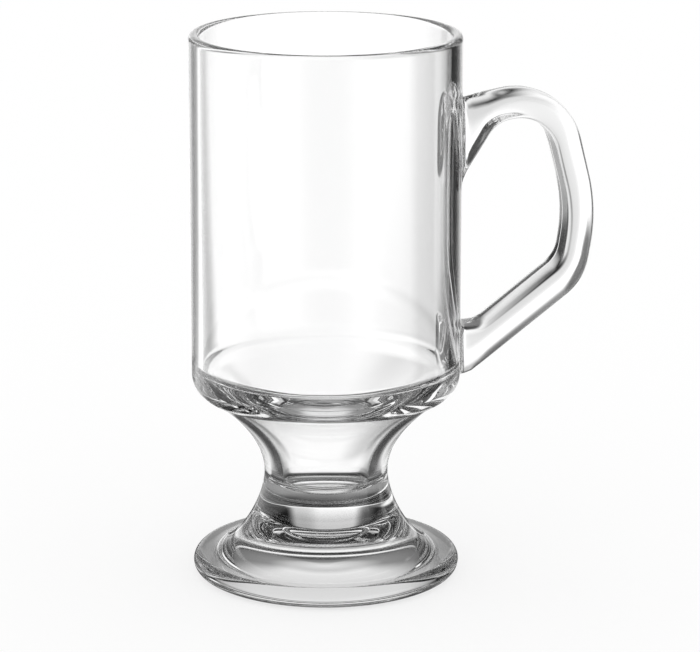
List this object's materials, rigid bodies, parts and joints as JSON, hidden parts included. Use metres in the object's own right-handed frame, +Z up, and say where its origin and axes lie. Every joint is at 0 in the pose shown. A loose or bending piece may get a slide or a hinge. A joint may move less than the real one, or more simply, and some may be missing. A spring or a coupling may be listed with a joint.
{
  "type": "footed glass mug",
  "caption": "Clear glass mug with a straight bowl, a narrow hollow stem, a round flared foot, hollow underneath, and a side handle, for serving hot coffee drinks.",
  "frame": {"origin": "on the mug's axis, in the plane of the ring that the foot stands on", "axes": "+Z up along the axis of the bowl, +X out along the handle, XZ the mirror plane"},
  "size_m": [0.1098, 0.0724, 0.148],
  "materials": {
    "clear_glass": "clear, fire-polished"
  },
  "bodies": {
    "root": {"bowl": "clear_glass", "stem": "clear_glass", "foot": "clear_glass", "handle": "clear_glass"}
  },
  "joints": []
}
